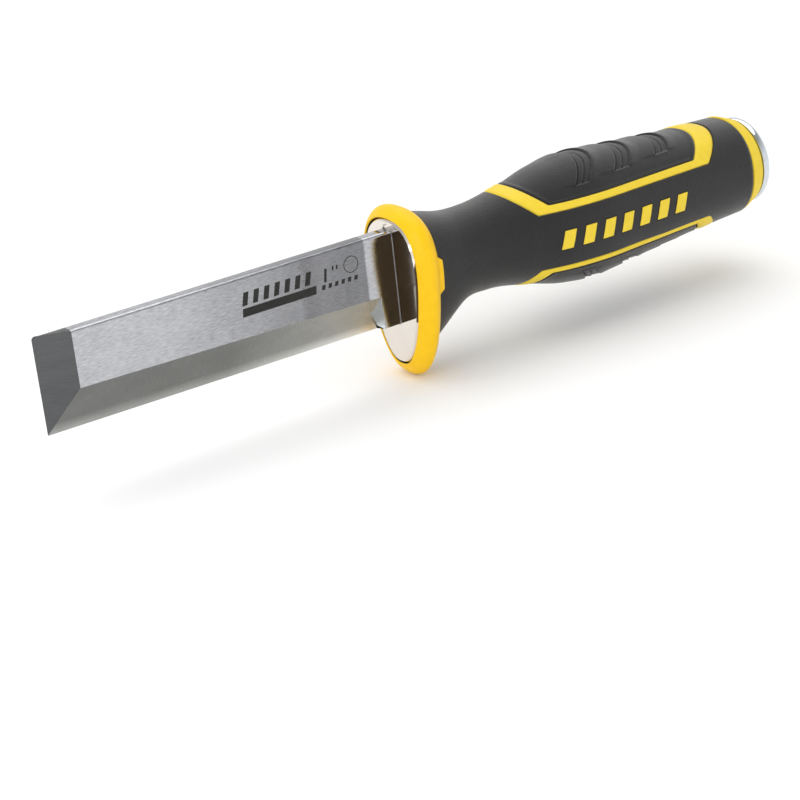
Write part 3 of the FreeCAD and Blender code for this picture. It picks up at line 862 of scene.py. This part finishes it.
def finger_pad(side, rise, width):
    """Pad inside a stripe loop. Its rim drops by r(1 - sqrt(1 - (1 - d/r)^2)) at distance d."""
    level = rise + width / 2
    v = eased(150, 0.35)
    u = np.linspace(0, 1, 560)[:, None]
    x_front = STRIPE_FRONT + FRONT_WIDTH / 2
    x_rear = STRIPE_REAR - REAR_WIDTH / 2
    row_x = x_front + (x_rear - x_front) * u + 0 * v
    bend = 2 * u - 1 + 0 * v

    def columns(x):
        """Column angles, from the loop's inner border on one side to that on the other."""
        low = angle_at(x, level)
        return side * (low + v * (math.pi - 2 * low))

    x, angle = bend_row(row_x, bend, columns, side, level)
    base = skin(x, angle)
    across = np.linalg.norm(base[:, 1:] - base[:, :-1], axis=-1).cumsum(axis=1)
    across = np.concatenate([np.zeros((len(u), 1)), across], axis=1)
    to_side = np.minimum(across, across[:, -1:] - across)
    to_end = np.minimum(row_x - x_front, x_rear - row_x) * 0.75
    margin = np.minimum(to_side, to_end)
    rim = -PAD_ROUND * (1 - np.sqrt(1 - (1 - np.clip(margin / PAD_ROUND, 0, 1)) ** 2))
    relief = pad_relief(base, side) - LOBE_HEIGHT * LOBE_STRENGTH[side]
    return skin(x, angle, rim + relief * smooth_step(margin / RELIEF_EASE))


for name, (side, rise, width) in LOOPS.items():
    make_piece(name + "_pad", [(finger_pad(side, rise, width), False, False, 0)],
               [name + "_finger_pad"], [rubber], sharp=60)

# %% [markdown]
# ## The grip sleeve
#
# The sleeve is a closed tube on the skin. It sinks under the stripes and pads, and leaves a
# narrow dark gap along each stripe. Its ends turn inwards at the guard ring and the rear ring.


# %% Grip sleeve
GRIP_THICKNESS = 2.5
JOINT_GAP = 0.16
PANEL_POINTS = 40
UNDER_STRIPE = 0.95
SINK_EASE = 0.45
REAR_LIP = 0.35
REAR_LIP_EASE = 0.7
BEND_START = 25
NO_BORDER = 99.0
INNER_STEP = 6


def sleeve():
    """Tube of skin rows by outline columns, with columns gathered at the stripe levels, closed by
    a coarser inner wall GRIP_THICKNESS below the skin. It sinks by smooth_step(d) under a stripe."""
    high_level, low_level = [rise - width / 2 - JOINT_GAP for _, rise, width in LOOPS.values()]
    panel = np.repeat(np.arange(4), PANEL_POINTS)
    spot = np.tile(eased(PANEL_POINTS, 0.6, endpoint=False), 4)
    corner_front = STRIPE_FRONT - FRONT_WIDTH / 2 - JOINT_GAP
    corner_rear = STRIPE_REAR + REAR_WIDTH / 2 + JOINT_GAP
    front = np.linspace(2 * RING_MIDDLE - 0.6, corner_front, 90, endpoint=False)
    middle = corner_front + (corner_rear - corner_front) * eased(170, 0.25)
    back = np.linspace(corner_rear, HANDLE_LENGTH, 46)[1:]
    row_x = np.concatenate([front, middle, back])[:, None]
    bend = np.interp(row_x, [BEND_START, corner_front, corner_rear, HANDLE_LENGTH], [0, -1, 1, 0])

    def columns(x):
        """Column angles: near side panel, spine cap, far side panel and edge cap in turn."""
        high, low = angle_at(x, high_level), angle_at(x, low_level)
        starts = np.stack([-low, high, math.pi - high, math.pi + low])
        widths = np.stack([high + low, math.pi - 2 * high, high + low, math.pi - 2 * low])
        pick = np.broadcast_to(panel, x.shape)[None]
        start = np.take_along_axis(starts, pick, axis=0)[0]
        return start + np.take_along_axis(widths, pick, axis=0)[0] * spot

    level = np.where(panel == 1, high_level, np.where(panel == 3, low_level, NO_BORDER))
    side = np.where(panel == 3, -1.0, 1.0)
    x, angle = bend_row(row_x + 0 * spot, bend, columns, side, level)
    above = rise_of(x, angle, side) - level
    inside = np.minimum(np.minimum(row_x - corner_front, corner_rear - row_x), above)
    sink = -UNDER_STRIPE * smooth_step(inside / SINK_EASE)
    sink = sink - REAR_LIP * (1 - smooth_step((HANDLE_LENGTH - row_x) / REAR_LIP_EASE))
    x = np.minimum(x, HANDLE_LENGTH)
    inner_wall = skin(x[::-INNER_STEP], angle[::-INNER_STEP], -GRIP_THICKNESS)
    return np.concatenate([skin(x, angle, sink), inner_wall])


make_piece("grip_body", [(sleeve(), True, True, 0)], ["grip_sleeve"], [rubber],
           sharp=70)

# %% [markdown]
# ## Raised bars, ring tongues and rear ring
#
# A row of slanted bars stands a little proud of each side panel, each on a slightly larger dark
# patch that shows as a fine outline of painted shade. Flat boxes would float off the curved panel,
# so each bar is a patch of the handle's own skin, lifted.


# %% Raised bars
def patch(x_low, x_high, z_low, z_high, slant, proud, ease, side, count=16, taper=0.0):
    """Raised patch on the side panel: its top leans back by slant, its height shrinks by the share
    taper from front to rear, and at distance d it lifts proud - (proud + 0.3)(1 - d/ease)^2."""
    u = eased(count)
    across, up = np.meshgrid(u, u)
    x = x_low + (x_high - x_low) * across + slant * (up - 0.5)
    z = (z_low + z_high) / 2 + (z_high - z_low) * (up - 0.5) * (1 - taper * across)
    height, _, centre_z, _ = section(x)
    level = np.clip((z - centre_z) / (height / 2), -0.999, 0.999)
    angle = np.arcsin(np.sign(level) * np.abs(level) ** (HANDLE_SQUARENESS / 2))
    angle = angle if side > 0 else math.pi - angle
    margin = np.minimum(np.minimum(across, 1 - across) * (x_high - x_low),
                        np.minimum(up, 1 - up) * (z_high - z_low))
    lift = proud - (proud + 0.3) * (1 - np.clip(margin / ease, 0, 1)) ** 2
    return skin(x, angle, lift)


BAR_COUNT = 7
BAR_FRONT = 45.5
BAR_PITCH = 6.4
BAR_WIDTH = 3.6
BAR_HALF = 2.6
OUTLINE = 0.35
bars, shade_outlines = [], []
for index in range(BAR_COUNT):
    left = BAR_FRONT + BAR_PITCH * index
    right = left + BAR_WIDTH
    for side in (-1, 1):
        bar = patch(left, right, -BAR_HALF, BAR_HALF, 1.4, 0.3, 0.3, side)
        # Painted shade: a dark rim just around each bar.
        shade_outline = patch(left - OUTLINE, right + OUTLINE, -BAR_HALF - OUTLINE, BAR_HALF + OUTLINE,
                        1.5, 0.03, 0.1, side)
        bars.append((bar, False, False, 0))
        shade_outlines.append((shade_outline, False, False, 0))
make_piece("side_bars", bars, ["handle_core"], [stripe_yellow], sharp=60)
make_piece("bar_shade_outlines", shade_outlines, ["handle_core"], [painted_gap_shade], sharp=60)

# %% [markdown]
# A tongue of the guard ring reaches back into the grip on each side. It is the same patch, made
# shorter in height towards the rear.

# %% Ring tongues
tongues = [(patch(5.2, 8.5, -5.9, 7.4, 0, 0.3, 0.8, side, 24, 0.42), False, False, 0)
           for side in (-1, 1)]
make_piece("ring_tongues", tongues, ["handle_core"], [yellow], sharp=60)

# %% [markdown]
# The rear ring is a short tapered collar, round in section, so it is turned like a piece on a
# lathe. Both of its edges are quarter rounds.

# %% Rear ring
REAR_RADIUS = rear[0] / 2 + 0.4
REAR_END_RADIUS = REAR_RADIUS - 1.3
FRONT_ROUND = 0.35
BACK_ROUND = 0.6
RING_WALL = 3
TURNED_POINTS = 200
quarter = np.linspace(0, math.pi / 2, 9)
profile = [(HANDLE_LENGTH, REAR_RADIUS - RING_WALL), (HANDLE_LENGTH, REAR_RADIUS - FRONT_ROUND)]
profile += [(HANDLE_LENGTH + FRONT_ROUND * (1 - math.cos(a)),
             REAR_RADIUS - FRONT_ROUND + FRONT_ROUND * math.sin(a)) for a in quarter]
profile += [(REAR_FACE - BACK_ROUND + BACK_ROUND * math.sin(a),
             REAR_END_RADIUS - BACK_ROUND + BACK_ROUND * math.cos(a)) for a in quarter]
profile += [(REAR_FACE, REAR_END_RADIUS - RING_WALL)]
make_piece("rear_ring", [(turned(profile, CAP_CENTRE_Z, TURNED_POINTS), True, True, 0)],
           ["handle_core"], [stripe_yellow], sharp=60)

# %% [markdown]
# ## The strike cap
#
# A plated disc with a rounded rim, turned about the handle's rear axis. A shallow step at its
# front leaves a joint line behind the rear ring. Its face stops just short of the tang's end, which
# is peened through its middle.

# %% Strike cap
CAP_ROUND = 1.2
STEP_INSET = 0.9
STEP_LENGTH = 0.55
FACE_SET_BACK = 0.02
shoulder = CAP_FACE - CAP_ROUND - 2 * FACE_SET_BACK
profile = [(REAR_FACE, 0.01), (REAR_FACE, CAP_RADIUS - STEP_INSET),
           (REAR_FACE + STEP_LENGTH, CAP_RADIUS - STEP_INSET),
           (REAR_FACE + 0.7, CAP_RADIUS - 0.15), (REAR_FACE + 0.9, CAP_RADIUS)]
profile += [(shoulder + CAP_ROUND * math.sin(a), CAP_RADIUS - CAP_ROUND + CAP_ROUND * math.cos(a))
            for a in quarter]
profile += [(CAP_FACE - FACE_SET_BACK, CAP_RADIUS * share) for share in (0.75, 0.5, 0.25, 0.001)]
make_piece("strike_cap_steel", [(turned(profile, CAP_CENTRE_Z, TURNED_POINTS), False, True, 0)],
           ["strike_cap"], [cap_metal], sharp=40)

# %% [markdown]
# ## Floor, light and camera
#
# A plain pale floor lies just under the lowest point, which is read from the pieces' own bounds.
# From here on lengths are in metres, because nothing more is built in millimetres.

# %% Floor
low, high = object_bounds()
FLOOR_SIZE = 6
FLOOR_GAP = 0.0002
bpy.ops.mesh.primitive_plane_add(size=FLOOR_SIZE, location=(0, 0, low.z - FLOOR_GAP))
floor = bpy.context.object
floor.name = "floor"
floor.data.materials.append(dull("paper", (0.95, 0.95, 0.95), 0.9, 3, 2, 0.005))
print("floor at", round((low.z - FLOOR_GAP) / MM, 1), "mm")

# %% [markdown]
# Polished steel shows the room more than itself, so the light is broad everywhere. The surround is
# brightest near the horizon and dimmer overhead; it reads the direction of view, which for a world
# is what Texture Coordinate calls Generated. A very broad overhead light gives a soft shadow, and
# a panel lights the bevelled side.

# %% Light
HORIZON_STRENGTH = 1.0
ZENITH_STRENGTH = 0.4
world = bpy.data.worlds.new("surround")
bpy.context.scene.world = world
world.use_nodes = True
tree = world.node_tree
backdrop = tree.nodes["Background"]
backdrop.inputs["Color"].default_value = (1, 1, 1, 1)
view = tree.nodes.new("ShaderNodeTexCoord")
parts = tree.nodes.new("ShaderNodeSeparateXYZ")
tree.links.new(view.outputs["Generated"], parts.inputs["Vector"])
glow = spread(tree, parts.outputs["Z"], HORIZON_STRENGTH, ZENITH_STRENGTH, (0.25, 0.8))
tree.links.new(glow, backdrop.inputs["Strength"])

sun = bpy.data.lights.new("overhead", "SUN")
sun.energy = 1.7
sun.angle = math.radians(75)
overhead = bpy.data.objects.new("overhead", sun)
overhead.rotation_euler = (-0.25, 0.1, 0)
bpy.context.scene.collection.objects.link(overhead)

PANEL_PLACE = Vector((-0.55, -0.35, 0.35))
PANEL_TARGET = Vector((-0.03, 0, 0))
area = bpy.data.lights.new("front_panel", "AREA")
area.shape = "RECTANGLE"
area.size, area.size_y = 0.4, 0.5
area.energy = 1.3
front_panel = bpy.data.objects.new("front_panel", area)
bpy.context.scene.collection.objects.link(front_panel)
front_panel.location = PANEL_PLACE
front_panel.rotation_euler = (PANEL_TARGET - PANEL_PLACE).to_track_quat("-Z", "Y").to_euler()
print("panel", round((PANEL_TARGET - PANEL_PLACE).length, 2), "m away")

# %% [markdown]
# A black card stands in front of the guard, as a photographer's flag does. Only reflections see
# it. It gives the polished plate and the steel beside it their dark side. It is nearly edge-on to
# what the rest of the blade reflects, where a soft upright edge of it still shows. It is part of
# the studio and not of the tool.

# %% Black card
CARD_LINE_START = np.array([-0.020, -0.0165])
CARD_DIRECTION = np.array([0.53, -0.85])
CARD_NEAR, CARD_FAR = 0.0045, 0.028
CARD_TOP = 0.012
near = CARD_LINE_START + CARD_NEAR * CARD_DIRECTION
far = CARD_LINE_START + CARD_FAR * CARD_DIRECTION
corners = [(*near, low.z), (*far, low.z), (*far, CARD_TOP), (*near, CARD_TOP)]
mesh = bpy.data.meshes.new("black_card")
mesh.from_pydata([tuple(map(float, corner)) for corner in corners], [], [(0, 1, 2, 3)])
felt = dull("felt", (0.115, 0.083, 0.045), 0.9, 400, 2, 0.1)
felt.node_tree.nodes["Principled BSDF"].inputs["Specular IOR Level"].default_value = 0.0
mesh.materials.append(felt)
card = bpy.data.objects.new("black_card", mesh)
bpy.context.scene.collection.objects.link(card)
card.visible_camera = False
card.visible_diffuse = False
card.visible_shadow = False
print("card", round((CARD_FAR - CARD_NEAR) / MM, 1), "mm long, seen by reflections only")

# %% [markdown]
# The camera looks from the bevelled side, slightly from above and towards the strike cap. A long
# lens keeps the blade from looking bigger than the handle. Three unit directions at right angles
# make the columns of the camera's matrix; a camera looks along its own minus Z.

# %% Camera
CAMERA_PLACE = (-0.30208, -0.47987, 0.19565)
RIGHT = (0.8201, -0.5629, -0.1035)
UP = (0.2929, 0.2575, 0.9208)
BACKWARDS = (-0.4916, -0.7854, 0.3760)
lens = bpy.data.cameras.new("eye")
lens.lens = 104.87
lens.sensor_width = 36
camera = bpy.data.objects.new("camera", lens)
bpy.context.scene.collection.objects.link(camera)
stand = Matrix((RIGHT, UP, BACKWARDS)).transposed().to_4x4()
stand.translation = CAMERA_PLACE
camera.matrix_world = stand
bpy.context.scene.camera = camera
bpy.context.scene.view_settings.view_transform = "Standard"
print("camera", round(Vector(CAMERA_PLACE).length, 2), "m from the guard")
